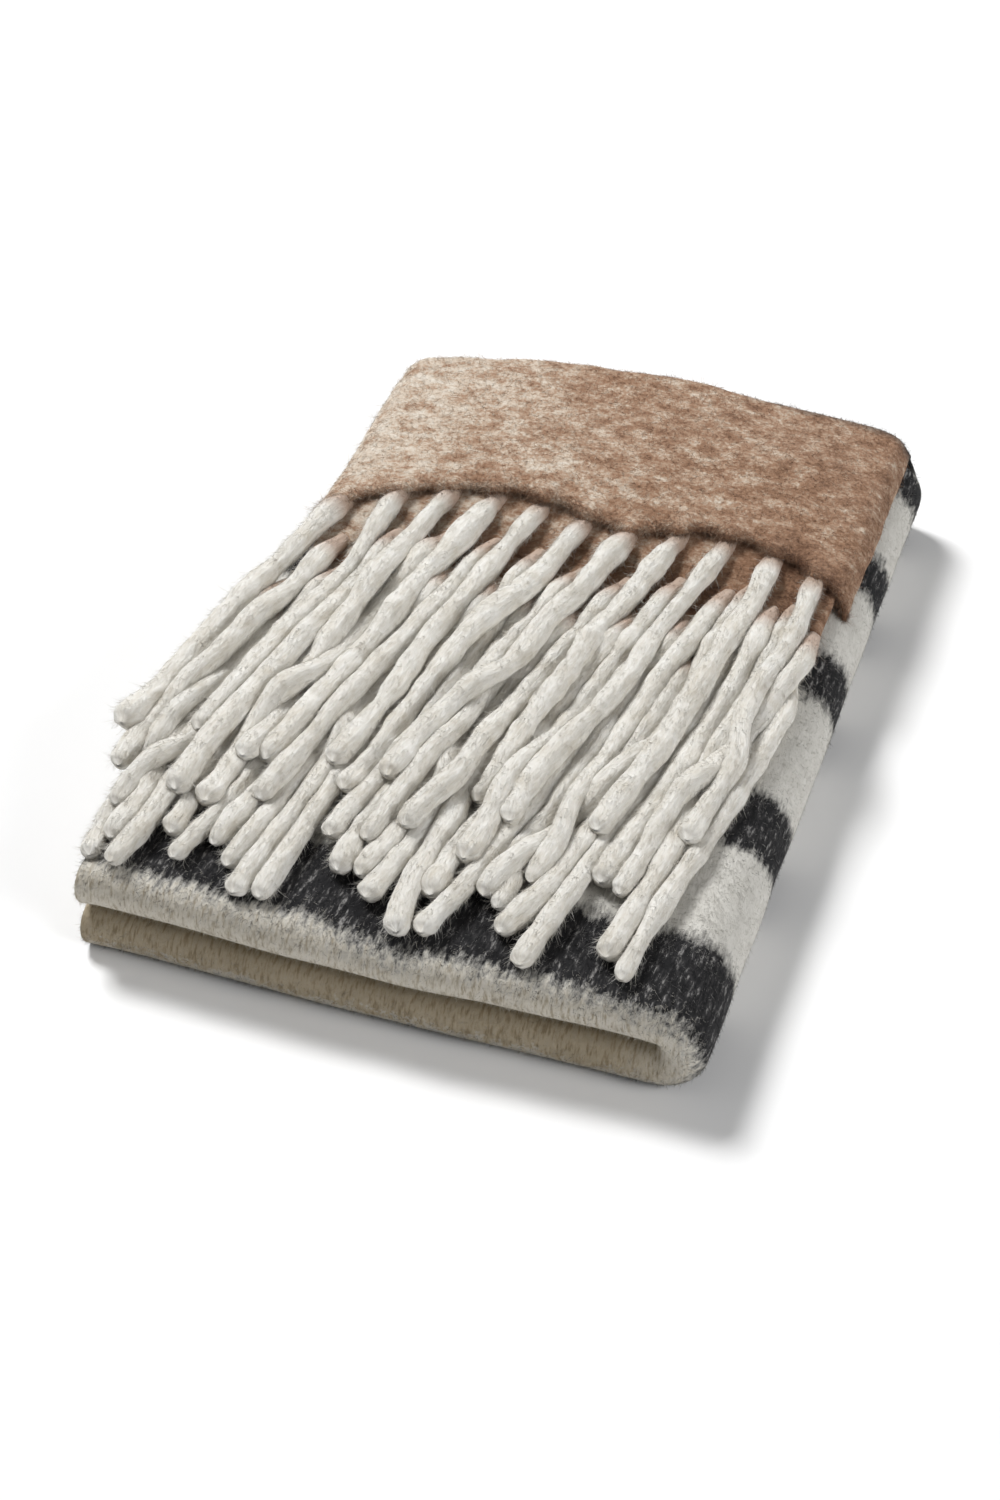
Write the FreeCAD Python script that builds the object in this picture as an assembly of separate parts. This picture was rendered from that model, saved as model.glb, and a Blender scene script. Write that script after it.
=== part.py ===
"""Folded throw blanket: one brushed, woven cloth folded into a flat stack, with a knotted fringe.

The cloth is folded in half along its length, folded across into three panels, folded in half
along its length again over the right-hand side, and its fringed end is turned over the back
edge onto the top. The origin is the middle of the face that the stack rests on. X runs along
the folds at the front, Y from front to back, Z up. Millimetres.
"""
import FreeCAD, Part
import math
import os

from FreeCAD import Vector

# The stack
STACK_WIDTH = 325.0          # X, a quarter of the cloth's width
STACK_DEPTH = 500.0          # Y, front fold to back fold
PANEL_THICK = 7.7            # one folded panel, two plies of brushed cloth
NAP_GAP = 0.3                # air between two faces of brushed cloth
MOUTH_GAP = 4.0              # gap between the upper and the lower half, seen from the front
END_PANEL_LENGTH = 300.0     # the tucked-in end of the cloth, without its fringe

# The turned-over end
FLAP_WIDTH = 302.0
FLAP_PLY_THICK = 2.3
FLAP_PLY_EDGES = (95.0, 50.0, 20.0, -5.0)   # Y of each ply's fringed edge, top ply first
EDGE_BOW = 14.0              # how far the middle of an edge lies behind that line
EDGE_SAG = 36.0              # how far its ends come forward of the bow
EDGE_DIP = 14.0              # a local dip forward
EDGE_DIP_X = 18.0
EDGE_DIP_WIDTH = 32.0

# The fringe
TASSELS_PER_ROW = 11
TASSEL_RADIUS = 6.3
TASSEL_ROOT_RADIUS = 3.0
TASSEL_ROOT_LENGTH = 20.0    # from the narrow root to the full radius
TASSEL_SHOULDER = 28.0       # from the root to the first bend of the two lower rows
TASSEL_TIP_EDGES = (-148.0, -183.0, -214.0, -234.0)   # Y of each row's tips, on average
TIP_VARIATION = 9.0          # how much longer or shorter a tassel is than its row
TIP_ROUNDING = 0.8           # of the radius
LEAN = 0.13                  # sideways drift of the fringe, per length
SWAY = 3.5                   # sideways bend along the fringe
SWAY_LENGTH = 55.0
HIDDEN_TASSEL_LENGTH = 165.0
HIDDEN_TASSELS = 20          # in each half
HIDDEN_TASSEL_GAP = 0.25     # how much thinner than its panel a pressed tassel is, at each face

# Worked out from the sizes above
PITCH = PANEL_THICK + NAP_GAP
HALF_THICK = 3 * PITCH - NAP_GAP
STACK_HEIGHT = 2 * HALF_THICK + MOUTH_GAP
LEFT = -STACK_WIDTH / 2
BEND_RADIUS = STACK_HEIGHT / 2
BEND_X = STACK_WIDTH / 2 - BEND_RADIUS
FRONT = -STACK_DEPTH / 2
BACK = STACK_DEPTH / 2
PANEL_BACK = BACK - PITCH
HIDDEN_TASSEL_RADIUS = PANEL_THICK / 2 - HIDDEN_TASSEL_GAP
FLAP_Z = STACK_HEIGHT + NAP_GAP
FLAP_THICK = 4 * FLAP_PLY_THICK
FLAP_LEFT = -FLAP_WIDTH / 2
LANE = FLAP_WIDTH / TASSELS_PER_ROW
EDGE_STEPS = 24              # points that a ply's edge is drawn through
ROOT_STEPS = 5               # rounds of finding where a leaning lane meets its ply's edge

os.makedirs("parts", exist_ok=True)


def save(name, solids):
    shape = solids[0] if len(solids) == 1 else Part.makeCompound(solids)
    shape.exportStep("parts/" + name + ".step")


def arc_edge(centre_y, centre_n, radius, start_deg, middle_deg, end_deg):
    """An arc in the profile plane, given as (Y, depth below the outer face)."""
    points = []
    for degrees in (start_deg, middle_deg, end_deg):
        angle = math.radians(degrees)
        points.append(Vector(0, centre_y + radius * math.cos(angle), centre_n + radius * math.sin(angle)))
    return Part.Arc(points[0], points[1], points[2]).toShape()


def line_edge(y1, n1, y2, n2):
    return Part.LineSegment(Vector(0, y1, n1), Vector(0, y2, n2)).toShape()


# ---------------------------------------------------------------- panels of the stack

def front_curl_profile(outer_n, inner_n, centre_n, back_y):
    """A panel whose front end curls a quarter turn about the fold of its half."""
    outer_radius = abs(centre_n - outer_n)
    inner_radius = abs(centre_n - inner_n)
    centre_y = FRONT + outer_radius
    sign = -1.0 if outer_n < centre_n else 1.0
    side = 270.0 if outer_n < centre_n else 90.0
    middle = (side + 180.0) / 2
    end_n = centre_n + sign * NAP_GAP / 2
    turn = math.degrees(math.asin(NAP_GAP / 2 / inner_radius))
    outer_turn = math.degrees(math.asin(NAP_GAP / 2 / outer_radius))
    outer_end = 180.0 - sign * outer_turn
    inner_end = 180.0 - sign * turn
    outer_y = centre_y + outer_radius * math.cos(math.radians(outer_end))
    inner_y = centre_y + inner_radius * math.cos(math.radians(inner_end))
    edges = [
        line_edge(back_y, outer_n, centre_y, outer_n),
        arc_edge(centre_y, centre_n, outer_radius, side, middle, outer_end),
        line_edge(outer_y, end_n, inner_y, end_n),
        arc_edge(centre_y, centre_n, inner_radius, inner_end, middle, side),
        line_edge(centre_y, inner_n, back_y, inner_n),
        line_edge(back_y, inner_n, back_y, outer_n),
    ]
    return Part.Face(Part.Wire(edges))


def rounded_back_profile(outer_n, inner_n, centre_n, front_y, back_y):
    """A panel whose back end is a quarter round, half of the fold at the back."""
    radius = max(abs(outer_n - centre_n), abs(inner_n - centre_n))
    flat_n = outer_n if abs(outer_n - centre_n) < abs(inner_n - centre_n) else inner_n
    far_n = inner_n if flat_n == outer_n else outer_n
    sign = 1.0 if far_n > centre_n else -1.0
    centre_y = back_y - radius
    start = sign * math.degrees(math.asin(abs(flat_n - centre_n) / radius))
    start_y = centre_y + radius * math.cos(math.radians(start))
    edges = [
        line_edge(front_y, flat_n, start_y, flat_n),
        arc_edge(centre_y, centre_n, radius, start, sign * 50.0, sign * 90.0),
        line_edge(centre_y, far_n, front_y, far_n),
        line_edge(front_y, far_n, front_y, flat_n),
    ]
    return Part.Face(Part.Wire(edges))


def in_three(profile):
    """The upper leg, side bend and lower leg of a panel that lies round the right-hand fold."""
    upper_face = profile.mirror(Vector(0, 0, 0), Vector(0, 0, 1))
    upper_face.translate(Vector(BEND_X, 0, STACK_HEIGHT))
    upper = upper_face.extrude(Vector(LEFT - BEND_X, 0, 0))
    side = upper_face.revolve(Vector(BEND_X, 0, BEND_RADIUS), Vector(0, 1, 0), 180)
    lower_face = profile.copy()
    lower_face.translate(Vector(BEND_X, 0, 0))
    lower = lower_face.extrude(Vector(LEFT - BEND_X, 0, 0))
    return upper, side, lower


def save_panel(name, profile):
    upper, side, lower = in_three(profile)
    save("upper_" + name, [upper])
    save("side_fold_" + name, [side])
    save("lower_" + name, [lower])


fold_centre = HALF_THICK / 2
outer_profile = front_curl_profile(0.0, PANEL_THICK, fold_centre, PANEL_BACK)

inner_face = 2 * PITCH
inner_front = front_curl_profile(HALF_THICK, inner_face, fold_centre, PANEL_BACK / 2)
crease = inner_face - NAP_GAP / 2
inner_back = rounded_back_profile(inner_face, HALF_THICK, crease, PANEL_BACK / 2, PANEL_BACK)
inner_profile = inner_front.fuse(inner_back).removeSplitter().Faces[0]

end_front = PANEL_BACK - END_PANEL_LENGTH
end_profile = rounded_back_profile(inner_face - NAP_GAP, PITCH, crease, end_front, PANEL_BACK)

save_panel("outer_panel", outer_profile)
save_panel("inner_panel", inner_profile)
save_panel("end_panel", end_profile)


def back_wrap():
    """The outer panel of the lower half, where it goes up the back of the stack."""
    y = PANEL_BACK + NAP_GAP
    depth = Vector(0, BACK - y, 0)
    top_left = Vector(LEFT, y, STACK_HEIGHT)
    top_bend = Vector(BEND_X, y, STACK_HEIGHT)
    side = Vector(BEND_X + BEND_RADIUS, y, BEND_RADIUS)
    low_bend = Vector(BEND_X, y, 0)
    low_left = Vector(LEFT, y, 0)
    edges = [
        Part.LineSegment(top_left, top_bend).toShape(),
        Part.Arc(top_bend, side, low_bend).toShape(),
        Part.LineSegment(low_bend, low_left).toShape(),
        Part.LineSegment(low_left, top_left).toShape(),
    ]
    return Part.Face(Part.Wire(edges)).extrude(depth)


save("back_wrap", [back_wrap()])


# ---------------------------------------------------------------- plies of the turned-over end

def edge_y(index, x):
    """Y of a ply's fringed edge, which wavers as laid cloth does."""
    bow = EDGE_BOW - EDGE_SAG * (2 * x / FLAP_WIDTH) ** 4
    dip = EDGE_DIP * math.exp(-(((x - EDGE_DIP_X) / EDGE_DIP_WIDTH) ** 2))
    return FLAP_PLY_EDGES[index] + bow - dip


def ply_outline(index):
    """The plan of a ply, with its wavering front edge, as a tall prism to cut the ply with."""
    front_points = []
    for step in range(EDGE_STEPS + 1):
        x = FLAP_LEFT + FLAP_WIDTH * step / EDGE_STEPS
        front_points.append(Vector(x, edge_y(index, x), STACK_HEIGHT))
    front = Part.BSplineCurve()
    front.interpolate(front_points)
    back_right = Vector(-FLAP_LEFT, BACK + 1, STACK_HEIGHT)
    back_left = Vector(FLAP_LEFT, BACK + 1, STACK_HEIGHT)
    edges = [
        front.toShape(),
        Part.LineSegment(front_points[-1], back_right).toShape(),
        Part.LineSegment(back_right, back_left).toShape(),
        Part.LineSegment(back_left, front_points[0]).toShape(),
    ]
    return Part.Face(Part.Wire(edges)).extrude(Vector(0, 0, 2 * FLAP_THICK))


def flap_ply(index):
    """One ply of the end, lying on the stack and curling down at the back."""
    inner_radius = (3 - index) * FLAP_PLY_THICK
    outer_radius = inner_radius + FLAP_PLY_THICK
    curl_y = BACK - FLAP_THICK
    front_y = FLAP_PLY_EDGES[index] - EDGE_SAG - EDGE_DIP
    edges = [
        line_edge(front_y, outer_radius, curl_y, outer_radius),
        arc_edge(curl_y, 0.0, outer_radius, 90.0, 45.0, 0.0),
        line_edge(curl_y + outer_radius, 0.0, curl_y + inner_radius, 0.0),
    ]
    if inner_radius > 0:
        edges.append(arc_edge(curl_y, 0.0, inner_radius, 0.0, 45.0, 90.0))
    edges.append(line_edge(curl_y, inner_radius, front_y, inner_radius))
    edges.append(line_edge(front_y, inner_radius, front_y, outer_radius))
    face = Part.Face(Part.Wire(edges))
    face.translate(Vector(FLAP_LEFT, 0, FLAP_Z))
    return face.extrude(Vector(FLAP_WIDTH, 0, 0)).common(ply_outline(index)).Solids[0]


for ply in range(4):
    save("flap_ply_%d" % (ply + 1), [flap_ply(ply)])


# ---------------------------------------------------------------- fringe

def rounded_path(points):
    """Straight runs joined by tangent arcs, each as large as its two runs allow."""
    edges = []
    start = points[0]
    for before, corner, after in zip(points, points[1:], points[2:]):
        back_way = before - corner
        forward_way = after - corner
        reach = 0.45 * min(back_way.Length, forward_way.Length)
        back_way.normalize()
        forward_way.normalize()
        arc_start = corner + back_way * reach
        arc_end = corner + forward_way * reach
        half_angle = back_way.getAngle(forward_way) / 2
        bisector = back_way + forward_way
        bisector.normalize()
        radius = reach * math.tan(half_angle)
        arc_middle = corner + bisector * (reach / math.cos(half_angle) - radius)
        edges.append(Part.LineSegment(start, arc_start).toShape())
        edges.append(Part.Arc(arc_start, arc_middle, arc_end).toShape())
        start = arc_end
    edges.append(Part.LineSegment(start, points[-1]).toShape())
    return Part.Wire(edges)


def tassel(points):
    """A roving with a narrow root, a round body and a blunt, rounded tip."""
    first_way = points[1] - points[0]
    first_way.normalize()
    body_start = points[0] + first_way * TASSEL_ROOT_LENGTH
    root = Part.makeCone(TASSEL_ROOT_RADIUS, TASSEL_RADIUS, TASSEL_ROOT_LENGTH, points[0], first_way)
    path = rounded_path([body_start] + points[1:])
    section = Part.Wire(Part.makeCircle(TASSEL_RADIUS, body_start, first_way))
    body = path.makePipeShell([section], True, False)
    tip_edges = [edge for edge in body.Edges if edge.CenterOfMass.isEqual(points[-1], 0.01)]
    blunt_body = body.makeFillet(TIP_ROUNDING * TASSEL_RADIUS, tip_edges)
    return root.fuse(blunt_body).removeSplitter().Solids[0]


def drift(y):
    """Sideways place of the whole fringe at a distance from the top ply's edge."""
    along = FLAP_PLY_EDGES[0] - y
    return -LEAN * along + SWAY * math.sin(along / SWAY_LENGTH)


def tip_y(row, number):
    return TASSEL_TIP_EDGES[row] + TIP_VARIATION * math.sin(2.1 * number + 1.3 * row)


def root_height(row):
    """Height of a row's root axes above the stack, just clear of the ply or stack below them."""
    plies_below = 3 - row
    seat = NAP_GAP + plies_below * FLAP_PLY_THICK if plies_below else 0.0
    return seat + NAP_GAP + TASSEL_ROOT_RADIUS


def shoulder_height(row):
    """Height of the axis where a root that stays clear of its seat has reached the first bend."""
    slope = (TASSEL_RADIUS - TASSEL_ROOT_RADIUS) / TASSEL_ROOT_LENGTH
    return root_height(row) + slope * TASSEL_SHOULDER


def root_y(row, lane_x):
    """Where a tassel starts on its lane, clear of its ply's edge across the width of the root."""
    y = FLAP_PLY_EDGES[row]
    for _ in range(ROOT_STEPS):
        x = lane_x + drift(y)
        left = edge_y(row, x - TASSEL_ROOT_RADIUS)
        right = edge_y(row, x + TASSEL_ROOT_RADIUS)
        y = min(left, right) - NAP_GAP
    return y


def tassel_heights(row, lane_x):
    """(Y, height above the stack) of the root and the first bend, and the height from there on."""
    start = root_y(row, lane_x)
    root = (start, root_height(row))
    if row >= 2:
        bend = (start - TASSEL_SHOULDER, shoulder_height(row))
        return [root, bend], NAP_GAP + TASSEL_RADIUS
    row_below = row + 2
    level = shoulder_height(row_below) + 2 * TASSEL_RADIUS + NAP_GAP
    return [root, (root_y(row_below, lane_x), level)], level


def tassel_points(row, number):
    lane_share = 0.25 if row in (0, 2) else 0.75
    lane_x = FLAP_LEFT + LANE * (number + lane_share)
    heights, level = tassel_heights(row, lane_x)
    stations = list(heights)
    bend_y = heights[-1][0]
    for share in (0.35, 0.68, 1.0):
        stations.append((bend_y + (tip_y(row, number) - bend_y) * share, level))
    return [Vector(lane_x + drift(y), y, STACK_HEIGHT + height) for y, height in stations]


for row in range(4):
    for number in range(TASSELS_PER_ROW):
        save("tassel_row%d_%02d" % (row + 1, number + 1), [tassel(tassel_points(row, number))])


# ---------------------------------------------------------------- fringe tucked inside

def hidden_tassel(x, axis_z):
    """A pressed tassel of the tucked-in end, in the same layer as its panel."""
    start = end_front - NAP_GAP
    body = Part.makeCylinder(
        HIDDEN_TASSEL_RADIUS, HIDDEN_TASSEL_LENGTH - HIDDEN_TASSEL_RADIUS, Vector(x, start, axis_z), Vector(0, -1, 0)
    )
    tip_place = Vector(x, start - HIDDEN_TASSEL_LENGTH + HIDDEN_TASSEL_RADIUS, axis_z)
    tip = Part.makeSphere(HIDDEN_TASSEL_RADIUS, tip_place, Vector(0, -1, 0), 0, 90, 360)
    return body.fuse(tip).removeSplitter().Solids[0]


hidden_depth = PITCH + PANEL_THICK / 2
hidden_lane = (BEND_X - LEFT) / HIDDEN_TASSELS
for half, height in (("upper", STACK_HEIGHT - hidden_depth), ("lower", hidden_depth)):
    group = [hidden_tassel(LEFT + hidden_lane * (i + 0.5), height) for i in range(HIDDEN_TASSELS)]
    save(half + "_hidden_fringe", group)
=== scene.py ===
"""Looks of the folded throw blanket: brushed banded cloth, a mottled brown end and a thick soft fringe.

Metres, in the frame's own axes: X along the front folds, Y from front to back, Z up.
"""
import math

import bpy
import numpy as np
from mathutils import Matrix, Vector


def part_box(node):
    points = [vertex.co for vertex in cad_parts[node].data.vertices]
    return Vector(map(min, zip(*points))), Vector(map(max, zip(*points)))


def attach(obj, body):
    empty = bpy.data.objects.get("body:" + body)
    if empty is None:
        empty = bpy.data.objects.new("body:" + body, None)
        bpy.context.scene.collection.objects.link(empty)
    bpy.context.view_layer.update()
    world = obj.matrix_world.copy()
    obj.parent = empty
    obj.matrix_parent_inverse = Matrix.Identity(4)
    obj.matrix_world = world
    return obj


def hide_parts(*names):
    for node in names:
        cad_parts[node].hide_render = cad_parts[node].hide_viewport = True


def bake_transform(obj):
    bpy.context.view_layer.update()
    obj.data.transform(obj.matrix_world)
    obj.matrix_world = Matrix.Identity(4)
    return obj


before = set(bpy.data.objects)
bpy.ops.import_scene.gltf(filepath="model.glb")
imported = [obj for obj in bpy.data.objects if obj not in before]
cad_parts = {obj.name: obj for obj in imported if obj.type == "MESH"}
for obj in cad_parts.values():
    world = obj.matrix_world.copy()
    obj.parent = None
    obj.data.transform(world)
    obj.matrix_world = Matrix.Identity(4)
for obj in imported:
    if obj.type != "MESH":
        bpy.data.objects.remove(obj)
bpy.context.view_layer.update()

MM = 0.001

# ------------------------------------------------------------------ sizes read from the frame

LEFT, FRONT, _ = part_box("upper_outer_panel")[0]
BEND_X, PANEL_BACK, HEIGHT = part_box("upper_outer_panel")[1]
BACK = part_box("back_wrap")[1][1]
BEND_RADIUS = HEIGHT / 2
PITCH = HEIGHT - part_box("upper_end_panel")[1][2]
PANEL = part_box("upper_end_panel")[1][2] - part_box("upper_end_panel")[0][2]
HALF = 3 * PITCH - (PITCH - PANEL)
END_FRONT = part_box("upper_end_panel")[0][1]
FLAP_LEFT, _, FLAP_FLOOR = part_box("flap_ply_4")[0]
FLAP_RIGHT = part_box("flap_ply_1")[1][0]
FLAP_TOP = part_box("flap_ply_1")[1][2]
FLAP_PLY = (FLAP_TOP - FLAP_FLOOR) / 4

# ------------------------------------------------------------------ sizes of the looks

PLY_HALF = 1.85 * MM              # half the thickness of one ply in the stack
PLY_OFFSET = 1.95 * MM            # each ply's middle from the middle of its panel
EDGE_ROUND = 2.2 * MM             # how far in from its edge a ply reaches its full thickness
FINE = 3.5 * MM                   # mesh spacing where cloth shows
COARSE = 24 * MM                  # mesh spacing inside the stack
ROWS, PER_ROW = 4, 11             # rows of tassels, and tassels in each
TASSEL_RINGS = 130                # stations along a tassel's mesh
TASSEL_SIDES = 30                 # points round it
TASSEL_R = 6.2 * MM               # a tassel's usual radius
CROWN = 9 * MM                    # how much the turned-over end swells in its middle
BACK_BOW = 8 * MM                 # how far its back edge bows out in the middle
CORNER_IN = 9 * MM                # how far its back corners round off
BEND_SHARE = 0.75                 # flat length of the side fold, as a share of its outer arc


# ------------------------------------------------------------------ small helpers

def unit(values):
    return np.clip(values, 0, 1)


def smooth_noise(points, size, seed, waves=14):
    """A smooth field of about -1 to 1 over points (n, 3), with features of the given size."""
    rng = np.random.default_rng(seed)
    direction = rng.normal(size=(waves, 3))
    direction /= np.linalg.norm(direction, axis=1)[:, None]
    rate = 2 * math.pi / size * rng.uniform(0.45, 1.25, waves)
    phase = rng.uniform(0, 2 * math.pi, waves)
    total = np.sin(points @ (direction * rate[:, None]).T + phase).sum(axis=1)
    return total / math.sqrt(waves)


def noise_vectors(points, size, seeds):
    return np.stack([smooth_noise(points, size, seed) for seed in seeds], axis=1)


def spaced(start, end, step):
    """Evenly spaced values from start to end, about a step apart."""
    count = max(2, int(round(abs(end - start) / step)) + 1)
    return np.linspace(start, end, count)


def with_edges(values, at_start=True, at_end=True):
    """Adds the close-set stations that round a ply's edge off."""
    near = np.array([0.12, 0.4, 0.8, 1.3]) * EDGE_ROUND * 1.6
    extra = []
    if at_start:
        extra.append(values[0] + near)
    if at_end:
        extra.append(values[-1] - near)
    return np.unique(np.concatenate([values] + extra))


def enclosed_volume(points, faces):
    """The volume inside closed faces; negative if they face inwards."""
    total = 0.0
    for k in range(1, faces.shape[1] - 1):
        a, b, c = (points[faces[:, j]].astype(float) for j in (0, k, k + 1))
        total += (a * np.cross(b, c)).sum() / 6
    return total


def new_object(name, data):
    obj = bpy.data.objects.new(name, data)
    bpy.context.scene.collection.objects.link(obj)
    return obj


def new_mesh(name, points, faces, material):
    """A smooth closed mesh object from (n, 3) points and (m, k) faces, which all end up facing outwards."""
    points = np.asarray(points, np.float32)
    faces = np.asarray(faces, np.int32)
    if enclosed_volume(points, faces) < 0:
        faces = faces[:, ::-1]
    mesh = bpy.data.meshes.new(name)
    mesh.vertices.add(len(points))
    mesh.vertices.foreach_set("co", points.ravel())
    sides = faces.shape[1]
    mesh.loops.add(faces.size)
    mesh.loops.foreach_set("vertex_index", faces.ravel())
    mesh.polygons.add(len(faces))
    mesh.polygons.foreach_set("loop_start", np.arange(len(faces), dtype=np.int32) * sides)
    mesh.polygons.foreach_set("loop_total", np.full(len(faces), sides, np.int32))
    mesh.polygons.foreach_set("use_smooth", np.full(len(faces), True))
    mesh.update(calc_edges=True)
    mesh.validate()
    mesh.materials.append(material)
    return new_object(name, mesh)


def set_vectors(obj, name, values):
    attribute = obj.data.attributes.new(name, "FLOAT_VECTOR", "POINT")
    attribute.data.foreach_set("vector", np.asarray(values, np.float32).ravel())


def grid_faces(rows, columns, ids):
    """Quads over a grid of vertex numbers."""
    table = ids.reshape(rows, columns)
    a = table[:-1, :-1].ravel()
    b = table[1:, :-1].ravel()
    c = table[1:, 1:].ravel()
    d = table[:-1, 1:].ravel()
    return np.stack([a, b, c, d], axis=1)


def tube_faces(rings, sides):
    """Quads round a tube whose points are numbered ring by ring."""
    ids = np.arange(rings * sides).reshape(rings, sides)
    ids = np.concatenate([ids, ids[:, :1]], axis=1)
    return grid_faces(rings, sides + 1, ids.ravel())


def round_strand(s, around, size, shift=0.0):
    """Points of a straight round strand: the length along it, then two coordinates across it."""
    return np.stack([
        np.repeat(s, len(around)),
        np.tile(np.cos(around), len(s)) * size + shift,
        np.tile(np.sin(around), len(s)) * size], axis=1)


def sheet_mesh(name, us, vs, place, half_thickness, material, along_scale=1.0):
    """A closed ply of cloth over a grid: place(u, v, h) gives the points at signed depth h."""
    u, v = (g.ravel() for g in np.meshgrid(us, vs, indexing="ij"))
    distance = np.full(u.shape, 1.0)
    for gap in (u - us[0], us[-1] - u, v - vs[0], vs[-1] - v):
        distance = np.minimum(distance, gap)
    t = unit(distance / EDGE_ROUND)
    h = half_thickness * np.sqrt(unit(1 - (1 - t) ** 2))
    outer = place(u, v, h)
    inner = place(u, v, -h)
    border = (u == us[0]) | (u == us[-1]) | (v == vs[0]) | (v == vs[-1])
    ids = np.arange(len(u))
    inner_ids = np.where(border, ids, 0)
    inside = ~border
    inner_ids[inside] = len(u) + np.arange(inside.sum())
    points = np.concatenate([outer, inner[inside]])
    front = grid_faces(len(us), len(vs), ids)
    back = grid_faces(len(us), len(vs), inner_ids)[:, ::-1]
    obj = new_mesh(name, points, np.concatenate([front, back]), material)
    cloth = np.stack([u * along_scale, v, np.zeros_like(u)], axis=1)
    set_vectors(obj, "cloth", np.concatenate([cloth, cloth[inside]]))
    return obj


# ------------------------------------------------------------------ materials

class Value:
    """A number, vector or colour that varies over a surface: a node's output, with arithmetic on it."""

    def __init__(self, tree, socket):
        self.tree, self.socket = tree, socket

    def math(self, operation, a, b):
        made = self.tree.nodes.new("ShaderNodeMath")
        made.operation = operation
        join(self.tree, a, made.inputs[0])
        join(self.tree, b, made.inputs[1])
        return Value(self.tree, made.outputs["Value"])

    def __add__(self, other):
        return self.math("ADD", self, other)

    def __sub__(self, other):
        return self.math("SUBTRACT", self, other)

    def __rsub__(self, other):
        return self.math("SUBTRACT", other, self)

    def __mul__(self, other):
        return self.math("MULTIPLY", self, other)

    def __truediv__(self, other):
        return self.math("DIVIDE", self, other)

    def __abs__(self):
        return self.math("ABSOLUTE", self, 0.0)

    def at_least(self, other):
        return self.math("MAXIMUM", self, other)

    def clamped(self):
        """The same value, held between 0 and 1."""
        self.socket.node.use_clamp = True
        return self


def join(tree, value, socket):
    """Gives an input socket a number, a colour or a Value."""
    if isinstance(value, Value):
        tree.links.new(value.socket, socket)
    else:
        socket.default_value = (*value, 1) if isinstance(value, tuple) else value


class Wool:
    """A dull woollen surface, and the nodes behind its colour and relief."""

    def __init__(self, name, roughness, sheen):
        self.material = bpy.data.materials.new(name)
        self.material.use_nodes = True
        self.tree = self.material.node_tree
        self.shader = self.tree.nodes["Principled BSDF"]
        for key, value in (("Roughness", roughness), ("Specular IOR Level", 0.08),
                           ("Sheen Weight", sheen), ("Sheen Roughness", 0.6)):
            self.shader.inputs[key].default_value = value

    def add(self, kind, **inputs):
        made = self.tree.nodes.new(kind)
        for key, value in inputs.items():
            join(self.tree, value, made.inputs[key])
        return made

    def place(self):
        return Value(self.tree, self.add("ShaderNodeTexCoord").outputs["Object"])

    def attribute(self, name):
        made = self.add("ShaderNodeAttribute")
        made.attribute_name = name
        return Value(self.tree, made.outputs["Vector"])

    def split(self, vector):
        made = self.add("ShaderNodeSeparateXYZ", Vector=vector)
        return [Value(self.tree, made.outputs[axis]) for axis in "XYZ"]

    def noise(self, vector, scale, detail=2.0, rough=0.55, stretch=None):
        """A noise value on a vector; stretch scales the vector's axes first."""
        if stretch:
            mapping = self.add("ShaderNodeMapping", Vector=vector)
            mapping.inputs["Scale"].default_value = stretch
            vector = Value(self.tree, mapping.outputs["Vector"])
        made = self.add("ShaderNodeTexNoise", Vector=vector, Scale=scale, Detail=detail, Roughness=rough)
        return Value(self.tree, made.outputs["Fac"])

    def ramp(self, source, *stops):
        """A colour ramp on a value; stops are (position, colour)."""
        made = self.add("ShaderNodeValToRGB", Fac=source)
        elements = made.color_ramp.elements
        for element, (position, colour) in zip(elements, (stops[0], stops[-1])):
            element.position = position
            element.color = (*colour, 1)
        for position, colour in stops[1:-1]:
            elements.new(position).color = (*colour, 1)
        return Value(self.tree, made.outputs["Color"])

    def mix(self, factor, a, b, blend="MIX"):
        made = self.add("ShaderNodeMix")
        made.data_type = "RGBA"
        made.blend_type = blend
        for key, value in (("Factor", factor), ("A", a), ("B", b)):
            join(self.tree, value, made.inputs[key])
        return Value(self.tree, made.outputs["Result"])

    def finish(self, colour, height, distance, strength):
        """Gives the shader its colour and relief, and returns the material."""
        bump = self.add("ShaderNodeBump", Height=height, Distance=distance, Strength=strength)
        join(self.tree, colour, self.shader.inputs["Base Color"])
        self.tree.links.new(bump.outputs["Normal"], self.shader.inputs["Normal"])
        return self.material


# Colours of the wools, linear RGB
WHITE = (0.63, 0.615, 0.575)
WHITE_DULL = (0.52, 0.505, 0.465)
CHARCOAL = (0.012, 0.012, 0.013)
CHARCOAL_NAP = (0.035, 0.034, 0.035)
CHARCOAL_PALE = (0.36, 0.35, 0.34)      # its white fibres
GREIGE = (0.60, 0.56, 0.48)
GREIGE_DARK = (0.40, 0.35, 0.27)
GREIGE_PALE = (0.62, 0.585, 0.52)
GREIGE_LOW_SHADE = (0.61, 0.55, 0.455)        # painted shade: what the lower half's greige is multiplied by
BROWN = (0.29, 0.165, 0.098)
# the darkest brown, reached by dark mottling and by the painted shade at the fringed edge
BROWN_DARK_AND_SHADE = (0.135, 0.065, 0.034)
TAN = (0.41, 0.285, 0.20)
OAT = (0.56, 0.465, 0.37)
OAT_PALE = (0.68, 0.62, 0.54)
CREAM = (0.72, 0.695, 0.64)
CREAM_DULL = (0.60, 0.56, 0.485)
CREAM_PALE = (0.80, 0.785, 0.745)
ROOT_BROWN = (0.42, 0.28, 0.20)         # brown fibres caught in a tassel's root
HAIR_DARK = (0.47, 0.415, 0.33)
HAIR_PALE = (0.90, 0.89, 0.865)
FLOOR_PALE = (0.92, 0.92, 0.92)

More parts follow.
